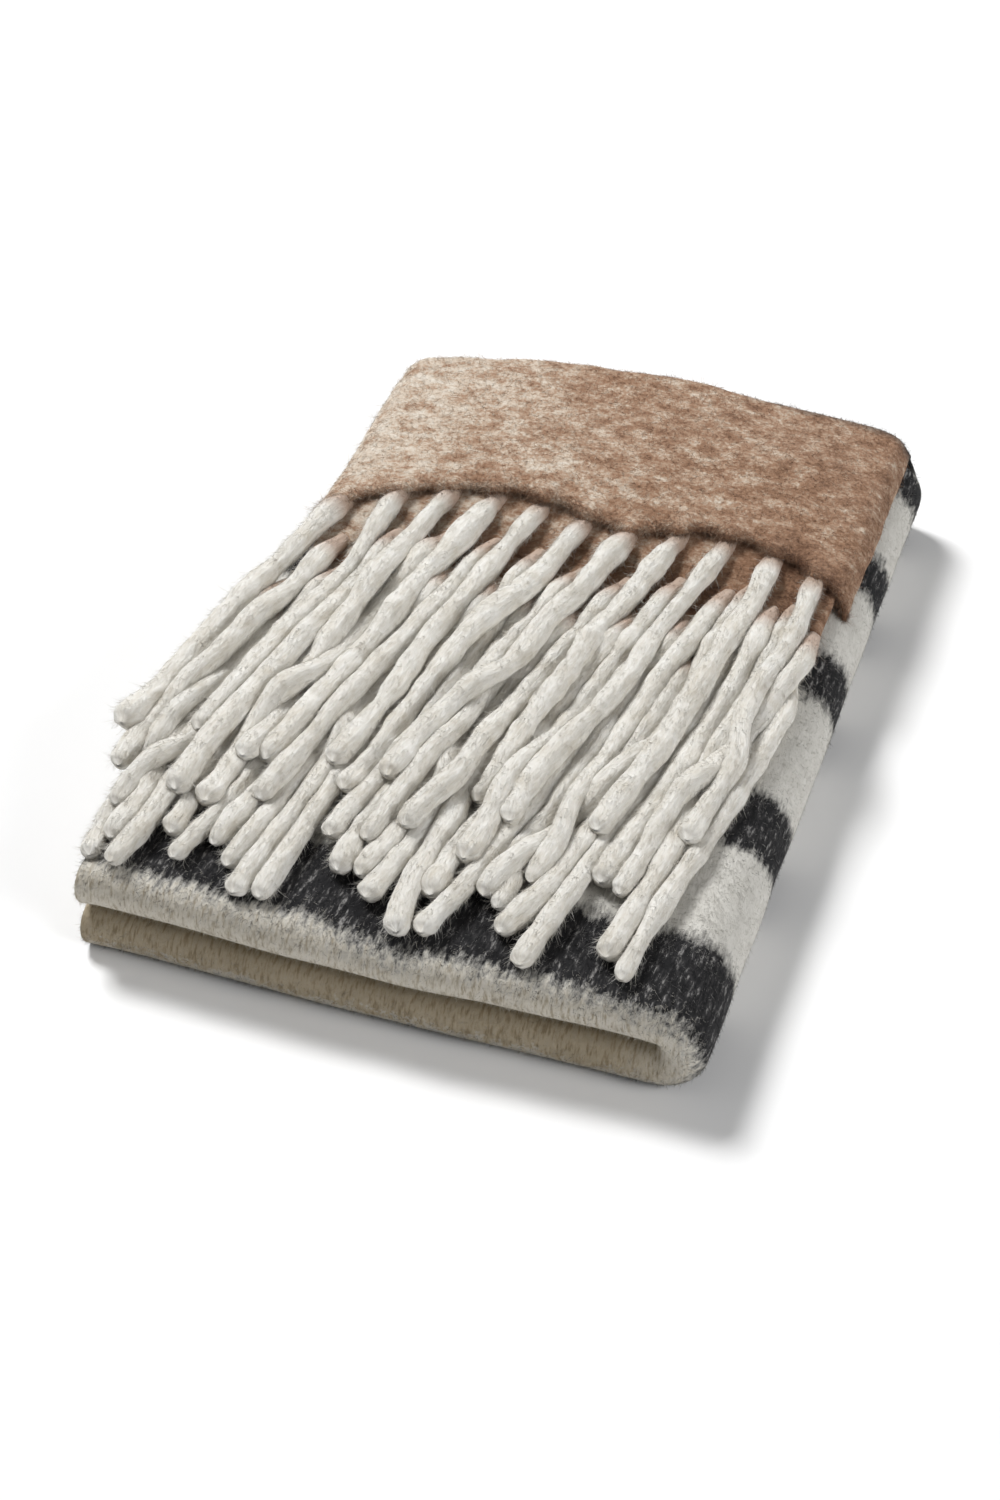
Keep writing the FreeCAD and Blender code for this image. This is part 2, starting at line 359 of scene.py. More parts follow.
# Metres along the stack's cloth from its open back: each charcoal band's middle, and half its width
BANDS = ((0.012, 0.016), (0.112, 0.017), (0.212, 0.019), (0.338, 0.022), (0.456, 0.028))
BAND_SOFT = 0.010                       # how far a band's edge takes to fade
BAND_WANDER, BAND_FRAY = 0.018, 0.028   # how far that edge drifts, and how far fibres cross it
BAND_JITTER = 0.016                     # how far each standing fibre's colour comes from beside it
BAND_SLANT, SLANT_TO = 0.032, 0.30      # how bands lean, from the left to this far across
GREIGE_FROM, GREIGE_SOFT = 0.483, 0.010 # where the greige begins
LOW_SHADE_FROM, LOW_SHADE_SOFT = 0.33, 0.05         # how far across the painted shade of the lower half begins
# Metres in from the fringed edge of the turned-over end, and to the right across it
BROWN_UNTIL, BROWN_SOFT = 0.174, 0.012  # where its brown ends
EDGE_SHADE_REACH, EDGE_SHADE_STRENGTH = 0.030, 3.4    # how far in from the fringed edge the painted shade reaches, and how strong it is
RIGHT_FROM, RIGHT_DARKER = 0.05, 0.55
LEFT_TO, LEFT_PALER = 0.12, 1.1
ROOT_TINTED, ROOT_FADE = 0.030, 70.0    # how far along a tassel the brown fibres reach


def wool_bands(wool, at, place, tint):
    """White wool with soft-edged charcoal bands, where at is the distance along the cloth."""
    dark = None
    for middle, half in BANDS:
        inside = ((half + BAND_SOFT / 2 - abs(at - middle)) / BAND_SOFT).clamped()
        dark = inside if dark is None else dark.at_least(inside)
    pale = wool.ramp(wool.noise(place, 130, 4, 0.65), (0.3, WHITE_DULL), (0.7, WHITE))
    specks = wool.noise(place, 420, 3, 0.7, (1.0, 0.25, 1.0)) + tint * 0.22
    charcoal = wool.ramp(specks, (0.45, CHARCOAL), (0.58, CHARCOAL_NAP), (0.74, CHARCOAL_PALE))
    return wool.mix(dark, pale, charcoal)


def banded_material():
    """White wool with charcoal bands, and greige from the front fold on, darkened by painted shade on the
    lower half.
    """
    wool = Wool("banded_wool", 0.95, 0.06)
    along, across, tint = wool.split(wool.attribute("cloth"))
    place = wool.place()
    fibre = wool.noise(place, 300, 3, 0.7, (1.0, 0.3, 1.0))
    at = along + (wool.noise(place, 22, 3) - 0.5) * BAND_WANDER
    at = at + ((fibre - 0.5) * BAND_FRAY + tint * BAND_JITTER)
    at = at + ((SLANT_TO - across) * BAND_SLANT).at_least(0.0)
    thread = wool.noise(place, 640, 2, 0.6, (1.0, 0.24, 0.24)) + tint * 0.10
    greige = wool.ramp(thread, (0.34, GREIGE_DARK), (0.5, GREIGE), (0.68, GREIGE_PALE))
    # Painted shade: the lower half's greige, on the lower front roll, is multiplied darker.
    low = ((across - LOW_SHADE_FROM) / LOW_SHADE_SOFT).clamped()
    greige = wool.mix(1.0, greige, wool.mix(low, (1.0, 1.0, 1.0), GREIGE_LOW_SHADE), "MULTIPLY")
    front = ((at - GREIGE_FROM) / GREIGE_SOFT).clamped()
    colour = wool.mix(front, wool_bands(wool, at, place, tint), greige)
    return wool.finish(colour, fibre + thread * 0.5, 0.0010, 0.6)


def brown_material():
    """Mottled brown and oat melange, darkened by painted shade at its fringed edge, charcoal and white down
    the back.
    """
    wool = Wool("brown_melange", 0.95, 0.12)
    inward, across, tint = wool.split(wool.attribute("cloth"))
    place = wool.place()
    speck = wool.noise(place, 420, 3, 0.75)
    value = wool.noise(place, 88, 4, 0.66, (0.85, 1.2, 1.0)) + (wool.noise(place, 13, 2) - 0.5) * 0.35
    value = value + (speck - 0.5) * 0.75 + tint * 0.17
    # Painted shade: the brown is darkened close to its fringed edge.
    edge_shade = ((EDGE_SHADE_REACH - inward) * EDGE_SHADE_STRENGTH).at_least(0.0)
    value = value - (edge_shade + (across - RIGHT_FROM) * RIGHT_DARKER)
    value = value + ((LEFT_TO - across) * LEFT_PALER).at_least(0.0)
    colour = wool.ramp(value, (0.08, BROWN_DARK_AND_SHADE), (0.34, BROWN), (0.49, TAN), (0.62, OAT), (0.82, OAT_PALE))
    down = inward + ((wool.noise(place, 30, 3) - 0.5) * 0.020 + across * 0.055) + tint * 0.004
    down = down - BROWN_UNTIL
    back = wool.ramp(down, (0.03, CHARCOAL), (0.042, WHITE_DULL), (0.06, WHITE))
    colour = wool.mix((down / BROWN_SOFT).clamped(), colour, back)
    return wool.finish(colour, speck + wool.noise(place, 150, 3, 0.6), 0.0012, 0.6)


def roving_material():
    """Cream roving: fine fibres along the tassel, brown ones caught in its root, and its hairs' own tints."""
    wool = Wool("cream_roving", 0.9, 0.15)
    strand = wool.attribute("strand")
    along = wool.split(strand)[0]
    place = wool.place()
    fibres = wool.noise(strand, 1.0, 3, 0.7, (110.0, 9.0, 9.0))
    value = fibres * 0.5 + wool.noise(place, 75, 4) * 0.5
    colour = wool.ramp(value, (0.34, CREAM_DULL), (0.5, CREAM), (0.64, CREAM_PALE))
    root = ((ROOT_TINTED - along) * ROOT_FADE).at_least(0.0).clamped()
    colour = wool.mix(root * 0.8, colour, ROOT_BROWN)
    tint = wool.split(wool.attribute("tint"))[0]
    colour = wool.mix((tint * -0.12).clamped(), colour, HAIR_DARK)
    colour = wool.mix((tint * 0.6).clamped(), colour, HAIR_PALE)
    return wool.finish(colour, fibres + wool.noise(place, 380, 3, 0.7) * 0.3, 0.0013, 0.8)


BANDED = banded_material()
BROWN_WOOL = brown_material()
ROVING = roving_material()


# ------------------------------------------------------------------ how laid cloth wavers

SLOW_SIZE, QUICK_SIZE = 0.16, 0.055            # length of the slow and the quick swells
SLOW_SWELL = np.array([1.2, 1.5, 1.1])         # their heights along X, Y and Z, in mm
QUICK_SWELL = np.array([0.35, 0.45, 0.45])
END_SINK, END_REACH = 2.2 * MM, 14 * MM        # how far the open left end sinks, and over what length
UPWARDS = np.array([0.0, 0.0, 1.0])


def settle(points):
    """Moves points as soft cloth settles: slow swells, with none up or down where the stack rests."""
    lift = np.clip(points[:, 2] / HEIGHT, 0, 1.6)[:, None]
    slow = noise_vectors(points, SLOW_SIZE, (11, 12, 13))
    quick = noise_vectors(points, QUICK_SIZE, (21, 22, 23))
    move = slow * SLOW_SWELL * MM + quick * QUICK_SWELL * MM
    sideways = np.array([1.0, 1.0, 0.0]) * (0.45 + 0.55 * lift)
    sink = END_SINK * unit((LEFT + END_REACH - points[:, 0]) / END_REACH) ** 2
    sink = sink * (points[:, 2] > BEND_RADIUS)
    return points + move * (sideways + UPWARDS * lift) - sink[:, None] * lift * UPWARDS


# ------------------------------------------------------------------ the stack

FOLD_N = HALF / 2                              # depth and Y of the front fold's middle
FOLD_Y = FRONT + FOLD_N
BACK_FOLD_N = 2 * PITCH - (PITCH - PANEL) / 2  # and of the fold inside, at the back
BACK_FOLD_Y = PANEL_BACK - PITCH
OPEN_BACK = PANEL_BACK - 3 * MM                # Y where the outer panel begins


def roll_path(offset):
    """The folded panel's middle line, moved outwards by offset, and the length along it.

    Its rows are Y, the depth below the stack's face, and the Y and depth parts of the normal.
    """
    outer_n = PANEL / 2 - offset
    front_r = FOLD_N - outer_n
    inner_n = FOLD_N + front_r
    back_r = inner_n - BACK_FOLD_N
    end_n = BACK_FOLD_N - back_r
    rows = []
    for y in OPEN_BACK - with_edges(spaced(0, OPEN_BACK - FOLD_Y, FINE), True, False):
        rows.append((y, outer_n, 0.0, -1.0))
    for a in np.linspace(0, math.pi, 19)[1:]:
        rows.append((FOLD_Y - front_r * math.sin(a), FOLD_N - front_r * math.cos(a),
                     -math.sin(a), -math.cos(a)))
    near = FOLD_Y + 60 * MM
    for y in spaced(FOLD_Y, near, 2 * FINE)[1:]:
        rows.append((y, inner_n, 0.0, 1.0))
    for y in spaced(near, BACK_FOLD_Y, COARSE)[1:]:
        rows.append((y, inner_n, 0.0, 1.0))
    for a in np.linspace(0, math.pi, 9)[1:]:
        rows.append((BACK_FOLD_Y + back_r * math.sin(a), BACK_FOLD_N + back_r * math.cos(a),
                     math.sin(a), math.cos(a)))
    for y in with_edges(spaced(END_FRONT, BACK_FOLD_Y, COARSE), True, False)[::-1][1:]:
        rows.append((y, end_n, 0.0, -1.0))
    rows = np.array(rows)
    steps = np.hypot(np.diff(rows[:, 0]), np.diff(rows[:, 1]))
    return rows, np.concatenate([[0], np.cumsum(steps)])


LEG = BEND_X - LEFT                            # flat width of each half
BEND = math.pi * BEND_RADIUS * BEND_SHARE      # flat width of the side fold


def round_the_side(s, depth):
    """X and Z of a point at a distance s across the folded cloth, at a depth below its outer face."""
    angle = unit((s - LEG) / BEND) * math.pi
    radius = BEND_RADIUS - depth
    x = BEND_X + radius * np.sin(angle)
    x = np.where(s <= LEG, LEFT + s, np.where(s >= LEG + BEND, BEND_X - (s - LEG - BEND), x))
    return x, BEND_RADIUS + radius * np.cos(angle)


def stack_ply(name, offset):
    """One of the two plies of the folded panel, from its back edge to the tucked-in end."""
    rows, lengths = roll_path(offset)
    upper = with_edges(spaced(0, LEG, FINE), True, False)
    lower = with_edges(spaced(LEG + BEND, 2 * LEG + BEND, FINE * 2), False, True)
    vs = np.concatenate([upper, np.linspace(LEG, LEG + BEND, 25)[1:-1], lower])

    def place(u, v, h):
        y, depth, ny, nn = (np.interp(u, lengths, rows[:, k]) for k in range(4))
        x, z = round_the_side(v, depth + h * nn)
        return settle(np.stack([x, y + h * ny, z], axis=1))

    flat = (float(vs[-1] - vs[0]), float(lengths[-1]))
    return sheet_mesh(name, lengths, vs, place, PLY_HALF, BANDED), flat


# ------------------------------------------------------------------ the turned-over end

def solid_points(name):
    return np.array([v.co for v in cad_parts[name].data.vertices])


def edge_line(name):
    """Y of a ply's fringed edge against X, read from its solid."""
    points = solid_points(name)
    points = points[points[:, 1] < BACK - 60 * MM]
    order = np.argsort(points[:, 0])
    return points[order, 0], points[order, 1]


def tassel_line(name, count):
    """The middle line of a tassel's solid, from root to tip: its middles on planes across Y."""
    points = solid_points(name)
    edges = np.array([e.vertices[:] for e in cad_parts[name].data.edges])
    a, b = points[edges[:, 0]], points[edges[:, 1]]
    low, high = points[:, 1].min(), points[:, 1].max()
    line = []
    for y in np.linspace(high - 0.6 * MM, low + 0.6 * MM, count):
        crossing = (a[:, 1] - y) * (b[:, 1] - y) < 0
        p, q = a[crossing], b[crossing]
        t = ((y - p[:, 1]) / (q[:, 1] - p[:, 1]))[:, None]
        cut = p + (q - p) * t
        line.append((cut.min(axis=0) + cut.max(axis=0)) / 2)
    return np.array(line)


def resample(line, count):
    steps = np.linalg.norm(np.diff(line, axis=0), axis=1)
    along = np.concatenate([[0], np.cumsum(steps)])
    at = np.linspace(0, along[-1], count)
    return np.stack([np.interp(at, along, line[:, k]) for k in range(3)], axis=1), along[-1]


EACH = [(row, number) for row in range(ROWS) for number in range(PER_ROW)]
LINES = {(row, number): tassel_line("tassel_row%d_%02d" % (row + 1, number + 1), 26) for row, number in EACH}


def droop(x):
    """How far cloth on the stack sinks where it passes the stack's rounded sides."""
    over = np.clip(x - BEND_X, 0, BEND_RADIUS * 0.98)
    return BEND_RADIUS - np.sqrt(BEND_RADIUS ** 2 - over ** 2)


def crown(x, y):
    """How far the turned-over end swells up over the stack."""
    middle = unit(1 - ((x - 10 * MM) / (165 * MM)) ** 2)
    back = unit((y - 70 * MM) / (70 * MM))
    return CROWN * middle * back * back * (3 - 2 * back)


def back_shift(x):
    """How far the back edge moves: out in the middle, in at both corners."""
    bow = BACK_BOW * unit(1 - ((x - 25 * MM) / (150 * MM)) ** 2)
    left = unit((LEFT + 48 * MM - x) / (48 * MM)) ** 2
    right = unit((x - FLAP_RIGHT + 26 * MM) / (26 * MM)) ** 2
    return bow - CORNER_IN * (left + 0.7 * right)


TOP_SHARE, UNDER_SHARE = 0.62, 0.47            # half thickness of the top ply and the rest, over the pitch
RECEDE = (0, 14, 42, 66)                       # mm that each ply's edge draws back at its right end
RECEDE_FROM, RECEDE_OVER = 92 * MM, 45 * MM    # X where that begins, and over what width
PULL_WIDTH = 6.5 * MM                          # how wide a tassel pulls its ply's edge
PULL_OUT, EDGE_BACK = 9 * MM, 5 * MM           # how far it pulls it out, and where the edge lies between
EDGE_FADE = 18 * MM                            # how far in from the edge the pull shows
LEFT_SINK = 7 * MM                             # how far the left edge sinks onto the stack
ROUGH_SIZE, ROUGH = 0.020, 0.28 * MM           # size and height of the small unevenness


def flap_ply(index):
    """One ply of the turned-over end. The top one goes on over the back and down to the floor."""
    top_ply = index == 0
    height = FLAP_FLOOR + (3.5 - index) * FLAP_PLY
    half = FLAP_PLY * (TOP_SHARE if top_ply else UNDER_SHARE)
    edge_x, edge_y = edge_line("flap_ply_%d" % (index + 1))
    roots = np.array([LINES[index, k][0] for k in range(PER_ROW)])
    curl_r = height - FLAP_FLOOR
    curl_y = BACK - (FLAP_TOP - FLAP_FLOOR)
    side_r = curl_r if top_ply else 0.0
    left = LEFT - 1 * MM if top_ply else FLAP_LEFT + index * 1.5 * MM
    width = FLAP_RIGHT - left - (0 if top_ply else (5 + 2 * index) * MM)
    flat_width = width - side_r
    total_width = flat_width + side_r * math.pi / 2
    step = FINE * 0.8 if top_ply else 1.3 * FINE
    vs = with_edges(spaced(0, total_width, step))
    straight = curl_y - (np.median(edge_y) - 20 * MM)
    down = (HEIGHT - 2 * MM) if top_ply else 0.0
    curl = curl_r * math.pi / 2
    us = with_edges(spaced(0, straight, step), True, False)
    us = np.concatenate([us, straight + np.linspace(0, curl, 9)[1:]])
    if top_ply:
        us = np.concatenate([us, straight + curl + np.linspace(0, down, 16)[1:]])
    us = with_edges(us, False, True)

    def place(u, v, h):
        a = np.clip((v - flat_width) / side_r, 0, math.pi / 2) if top_ply else np.zeros_like(v)
        x = left + np.minimum(v, flat_width) + (side_r + h) * np.sin(a)
        sunk = (side_r + h) * (1 - np.cos(a)) if top_ply else 0.0
        share = unit(u / straight)
        pull = np.zeros_like(x)
        for root in roots:
            pull = pull + np.exp(-((x - root[0]) / PULL_WIDTH) ** 2)
        right_end = unit((x - RECEDE_FROM) / RECEDE_OVER)
        recede = RECEDE[index] * MM * right_end * right_end * (3 - 2 * right_end)
        front = np.interp(x, edge_x, edge_y) - PULL_OUT * pull + EDGE_BACK + recede
        y = front + (curl_y - front) * share
        fade = np.exp(-((y - front) / EDGE_FADE) ** 2)
        z = np.full_like(x, height) + h - sunk
        z += ((5.6 * pull + 0.4) if top_ply else (4.4 * pull - 2.0)) * MM * fade
        turn = np.clip((u - straight) / curl_r, 0, math.pi / 2)
        bent = u > straight
        y = np.where(bent, curl_y + (curl_r + h) * np.sin(turn), y)
        z = np.where(bent, FLAP_FLOOR + (curl_r + h) * np.cos(turn) - sunk * np.cos(turn), z)
        below = unit(u - straight - curl)
        hanging = below > 0
        y = np.where(hanging, curl_y + curl_r + h, y)
        z = np.where(hanging, FLAP_FLOOR - below, z)
        z = z - droop(x) * unit(1 - below / (10 * MM))
        z = z - LEFT_SINK * unit((LEFT + 15 * MM - x) / (16 * MM)) ** 2 * (~hanging if top_ply else 0)
        spread = unit(below / (HEIGHT - 12 * MM))
        depth = np.clip(z, 0, HEIGHT) - BEND_RADIUS
        limit = BEND_X + np.sqrt(np.clip(BEND_RADIUS ** 2 - depth ** 2, 0, None)) - 1 * MM
        wide = LEFT + (limit - LEFT) * (v / total_width)
        x = np.where(hanging, x + (wide - x) * np.sqrt(spread), x)
        ease = 1 - 0.4 * unit(below / HEIGHT)
        near_back = unit((y - 120 * MM) / (BACK - 120 * MM))
        y = y + back_shift(x) * near_back ** 2 * ease
        z = z + crown(x, y) * unit(1 - below / HEIGHT) * (1 - 0.18 * index)
        points = np.stack([x, y, z], axis=1)
        rough = noise_vectors(points, ROUGH_SIZE, (50, 51, 52))
        return settle(points + rough * ROUGH * (1.0 if top_ply else 0.4))

    # On the under plies the cloth's length is squeezed, so the painted shade of the fringed edge, and their
    # edge pile, reach further in
    obj = sheet_mesh("flap_cloth_%d" % (index + 1), us, vs, place, half, BROWN_WOOL, 1.0 if top_ply else 0.22)
    return obj, (float(total_width), float(us[-1]))


# ------------------------------------------------------------------ the fringe

STRAND_POINTS = 46                # points along a tassel while it settles
PINNED = 4                        # points at the root that the heap doesn't move
ROOT_IN, ROOT_DEEP = 11 * MM, 45 * MM   # how far a root runs under its ply, and on where that ply recedes
SWAY = 17                         # mm that a tip may lie to either side
FALL = 0.30 * MM                  # how far the strands fall in each pass
REACH = 2.6 * TASSEL_R            # points closer than this are watched
FIRM = 0.90                       # two strands push apart below this share of their radii together
STIFF = 0.42                      # how much a bend straightens in each pass
DRIFT = 15 * MM                   # the furthest a point may move in the heap


def along_noise(probe, size, rng):
    """Smooth noise along a strand, with a seed drawn from the strand's own stream."""
    return smooth_noise(probe, size, int(rng.integers(1e6)))


def start_line(row, number, rng):
    """A tassel's line before it settles: the solid's own, with a natural sway."""
    line = LINES[row, number].copy()
    way = line[0] - line[1]
    way /= np.linalg.norm(way)
    inside = line[0] + way * ROOT_IN
    inside[2] = line[0][2] - 1.0 * MM
    deeper = inside + np.array([0.0, ROOT_DEEP, 0.0])
    hidden = [deeper] if row >= 2 and number >= PER_ROW - 2 else []
    line, length = resample(np.concatenate([np.array(hidden + [inside]), line]), STRAND_POINTS)
    s = np.linspace(0, length, STRAND_POINTS)
    line[:, 2] -= 3.2 * MM * unit(1 - (s - s[0]) / (30 * MM))
    free = unit((s - 20 * MM) / (150 * MM))
    probe = np.stack([s, np.full_like(s, rng.uniform(0, 9)), np.zeros_like(s)], axis=1)
    waves = along_noise(probe, 0.18, rng) * 6.5 + along_noise(probe, 0.07, rng) * 1.8
    line[:, 0] += waves * MM * free + rng.uniform(-SWAY, SWAY) * MM * free ** 1.4
    line[:, 2] += np.abs(along_noise(probe, 0.09, rng)) * 2.0 * MM * free
    over = unit(LEFT + 16 * MM - line[:, 0])
    line[:, 0] += over * (0.35 if row < 2 else 0.62)
    return line


def ply_tops(points, row):
    """The height of whatever cloth lies under each point of a strand of the given row."""
    x, y = points[..., 0], points[..., 1]
    left = unit(LEFT + 5 * MM - x)
    under = HEIGHT + 0.3 * MM - left * 1.3
    for index in range(row + 1, ROWS):
        edge_x, edge_y = edge_line("flap_ply_%d" % (index + 1))
        top = FLAP_FLOOR + (ROWS - index) * FLAP_PLY
        share = unit((y - np.interp(x, edge_x, edge_y)) / (12 * MM) + 1)
        under = np.maximum(under, HEIGHT + (top - HEIGHT) * share)
    return under


def settle_fringe(lines, radii, passes=110):
    """Lets the strands fall in a heap: they keep their length and push each other apart."""
    home = lines.copy()
    count, points = lines.shape[:2]
    step = np.linalg.norm(np.diff(lines, axis=1), axis=2).mean(axis=1)
    owner = np.repeat(np.arange(count), points)
    size = radii.reshape(-1)
    moves = np.tile((np.arange(points) >= PINNED).astype(float), count)
    rows = np.repeat(np.arange(ROWS), PER_ROW)
    for turn in range(passes):
        lines[:, PINNED:, 2] -= FALL
        flat = lines.reshape(-1, 3)
        if turn % 6 == 0:
            square = (flat ** 2).sum(axis=1)
            gap = square[:, None] + square[None] - 2 * flat @ flat.T
            near = gap < REACH ** 2
            a, b = np.nonzero(np.triu(near, 1))
            other = owner[a] != owner[b]
            a, b = a[other], b[other]
        apart = flat[a] - flat[b]
        distance = np.maximum(np.linalg.norm(apart, axis=1), 1e-6)
        push = np.clip(FIRM * (size[a] + size[b]) - distance, 0, None)
        shift = apart / distance[:, None] * (push * 0.5)[:, None]
        total = np.zeros_like(flat)
        for k in range(3):
            total[:, k] = np.bincount(a, shift[:, k], len(flat)) - np.bincount(b, shift[:, k], len(flat))
        touching = (push > 0).astype(float)
        hits = np.bincount(a, touching, len(flat)) + np.bincount(b, touching, len(flat))
        flat = flat + total / np.maximum(hits, 1)[:, None] ** 0.6 * moves[:, None]
        lines = flat.reshape(count, points, 3)
        for _ in range(2):
            middle = (lines[:, :-2] + lines[:, 2:]) / 2
            lines[:, 2:-2] += STIFF * (middle - lines[:, 1:-1])[:, 1:-1]
        for k in range(PINNED, points):
            way = lines[:, k] - lines[:, k - 1]
            lines[:, k] = lines[:, k - 1] + way / np.linalg.norm(way, axis=1)[:, None] * step[:, None]
        away = lines - home
        far = np.linalg.norm(away, axis=2)[..., None]
        lines = home + away * np.minimum(1, DRIFT / np.maximum(far, 1e-9))
        for row in range(ROWS):
            own = rows == row
            lowest = ply_tops(lines[own], row) + radii[own] * 0.93
            free = np.arange(points) >= PINNED
            lines[own, :, 2] = np.where(free, np.maximum(lines[own, :, 2], lowest), lines[own, :, 2])
    return lines


def smoothed(line, times):
    for _ in range(times):
        line[1:-1] = line[1:-1] * 0.5 + (line[:-2] + line[2:]) * 0.25
    return line


def fringe_shapes():
    """Each tassel's line, radii and random stream, after the whole fringe has settled."""
    streams, starts, radii = {}, [], []
    for row, number in EACH:
        rng = np.random.default_rng(100 + row * 20 + number)
        streams[row, number] = rng
        starts.append(start_line(row, number, rng))
        radii.append(np.full(STRAND_POINTS, TASSEL_R * rng.uniform(0.92, 1.10) * (1.0 if row < 2 else 0.93)))
    settled = settle_fringe(np.array(starts), np.array(radii))
    shapes = {}
    for place, key in enumerate(streams):
        rng = streams[key]
        line, length = resample(smoothed(settled[place], 5), TASSEL_RINGS)
        line = smoothed(line, 3)
        s = np.linspace(0, length, TASSEL_RINGS)
        probe = np.stack([s, np.full_like(s, rng.uniform(0, 9)), np.zeros_like(s)], axis=1)
        lumps = along_noise(probe, 0.045, rng) * 0.11
        lumps += along_noise(probe, 0.018, rng) * 0.075
        radius = radii[place][0] * (1 + lumps) * (0.72 + 0.28 * unit(s / (28 * MM)))
        shapes[key] = (line, radius, s, length, rng)
    return shapes


def frames_along(line):
    """Tangent and two cross directions at each point of a line."""
    tangent = np.gradient(line, axis=0)
    tangent /= np.linalg.norm(tangent, axis=1)[:, None]
    up = np.array([0.0, 0.0, 1.0])
    side = np.cross(tangent, up)
    side /= np.linalg.norm(side, axis=1)[:, None]
    over = np.cross(side, tangent)
    return tangent, side, over


def fibre_frames(ways):
    """Unit directions, with two directions across each."""
    ways = ways / np.linalg.norm(ways, axis=1)[:, None]
    helper = np.where(np.abs(ways[:, 2:3]) < 0.9, [[0.0, 0.0, 1.0]], [[1.0, 0.0, 0.0]])
    a = np.cross(ways, helper)
    a /= np.linalg.norm(a, axis=1)[:, None]
    return ways, a, np.cross(ways, a)


def thin_fibres(roots, ways, lengths, radius, bend):
    """Curved, tapering hairs as closed three-sided spikes: points (n, 7, 3) and faces (m, 3)."""
    count = len(roots)
    ways, a, b = fibre_frames(ways)
    middle = roots + ways * lengths[:, None] * 0.5 + bend * 0.3
    tips = roots + ways * lengths[:, None] * 0.9 + bend
    points = np.zeros((count, 7, 3))
    for k in range(3):
        angle = 2 * math.pi * k / 3
        around = (a * math.cos(angle) + b * math.sin(angle)) * radius
        points[:, k] = roots + around
        points[:, 3 + k] = middle + around * 0.75
    points[:, 6] = tips
    pattern = []
    for k in range(3):
        n = (k + 1) % 3
        pattern += [(k, n, 3 + n), (k, 3 + n, 3 + k), (3 + k, 3 + n, 6)]
    pattern.append((2, 1, 0))
    faces = (np.array(pattern)[None] + 7 * np.arange(count)[:, None, None]).reshape(-1, 3)
    return points.reshape(-1, 3), faces


TIP, BLUNT = 7 * MM, 20 * MM      # how far from its cut end a tassel rounds off, and is at its roughest
LUMPY, LUMPIER = 0.026, 0.03      # surface relief over the radius, and how much more there is at the end
SQUASH = 0.94                     # height of a tassel over its width


def make_tassel(row, number):
    """One tassel: a lumpy, twisted, felted roll of yarn round its settled line, with its hairs."""
    line, radius, s, length, rng = SHAPES[row, number]
    tangent, side, over = frames_along(line)
    around = np.linspace(0, 2 * math.pi, TASSEL_SIDES, endpoint=False)
    seed = 100 + row * 20 + number
    twist = rng.uniform(2.0, 4.5) * s / length + rng.uniform(0, 6)
    angle = around[None] + twist[:, None]
    lobes = 0.035 * np.cos(3 * angle + rng.uniform(0, 6)) + 0.03 * np.cos(5 * angle + rng.uniform(0, 6))
    tip = unit((length - s) / TIP)
    cap = np.sqrt(unit(1 - (1 - tip) ** 2.4))
    flat = unit((length - s) / BLUNT)
    reach = radius[:, None] * (1 + lobes) * cap[:, None]
    probe = round_strand(s * 0.5, around, 0.010)
    rough = smooth_noise(probe, 0.012, seed + 7) + 0.9 * smooth_noise(probe, 0.004, seed + 8, 20)
    reach *= 1 + (LUMPY + LUMPIER * (1 - flat[:, None])) * rough.reshape(len(s), -1)
    points = line[:, None] + reach[..., None] * (
        np.cos(around)[None, :, None] * side[:, None] + np.sin(around)[None, :, None] * over[:, None] * SQUASH)
    rings = points.reshape(-1, 3)
    faces = tube_faces(len(s), TASSEL_SIDES)[:, ::-1]
    fan = np.array([(0, k, k + 1) for k in range(1, TASSEL_SIDES - 1)])
    tri = np.concatenate([
        faces[:, [0, 1, 2]], faces[:, [0, 2, 3]], fan[:, ::-1], fan + (len(s) - 1) * TASSEL_SIDES])
    strand = round_strand(s, around, 0.35, seed)
    hair_points, hair_faces, hair_strand, hair_tint = tassel_hair(
        line, radius * cap, tangent, side, over, s, rng, seed)
    all_points = np.concatenate([rings, hair_points])
    all_faces = np.concatenate([tri, hair_faces + len(rings)])
    obj = new_mesh("tassel_%d_%02d" % (row + 1, number + 1), all_points, all_faces, ROVING)
    set_vectors(obj, "strand", np.concatenate([strand, hair_strand]))
    set_vectors(obj, "tint", np.concatenate([np.zeros_like(strand), hair_tint]))
    return obj


NAP = 800                         # fibres that lie along each tassel
HALO = 1500                       # short ones that stand off it
FLYAWAYS = 130                    # longer, curved ones


def straight_fibres(roots, ways, lengths, radius):
    """Short, tapering hairs as closed three-sided spikes: points (n * 4, 3) and faces (m, 3)."""
    ways, a, b = fibre_frames(ways)
    points = np.zeros((len(roots), 4, 3))
    for k in range(3):
        angle = 2 * math.pi * k / 3
        points[:, k] = roots + (a * math.cos(angle) + b * math.sin(angle)) * radius
    points[:, 3] = roots + ways * lengths[:, None]
    pattern = np.array([(0, 1, 3), (1, 2, 3), (2, 0, 3), (2, 1, 0)])
    faces = (pattern[None] + 4 * np.arange(len(roots))[:, None, None]).reshape(-1, 3)
    return points.reshape(-1, 3), faces


def per_point(values, straight):
    """Each fibre's values for each of its points, where the first fibres are straight ones."""
    return np.concatenate([np.repeat(values[:straight], 4, axis=0), np.repeat(values[straight:], 7, axis=0)])


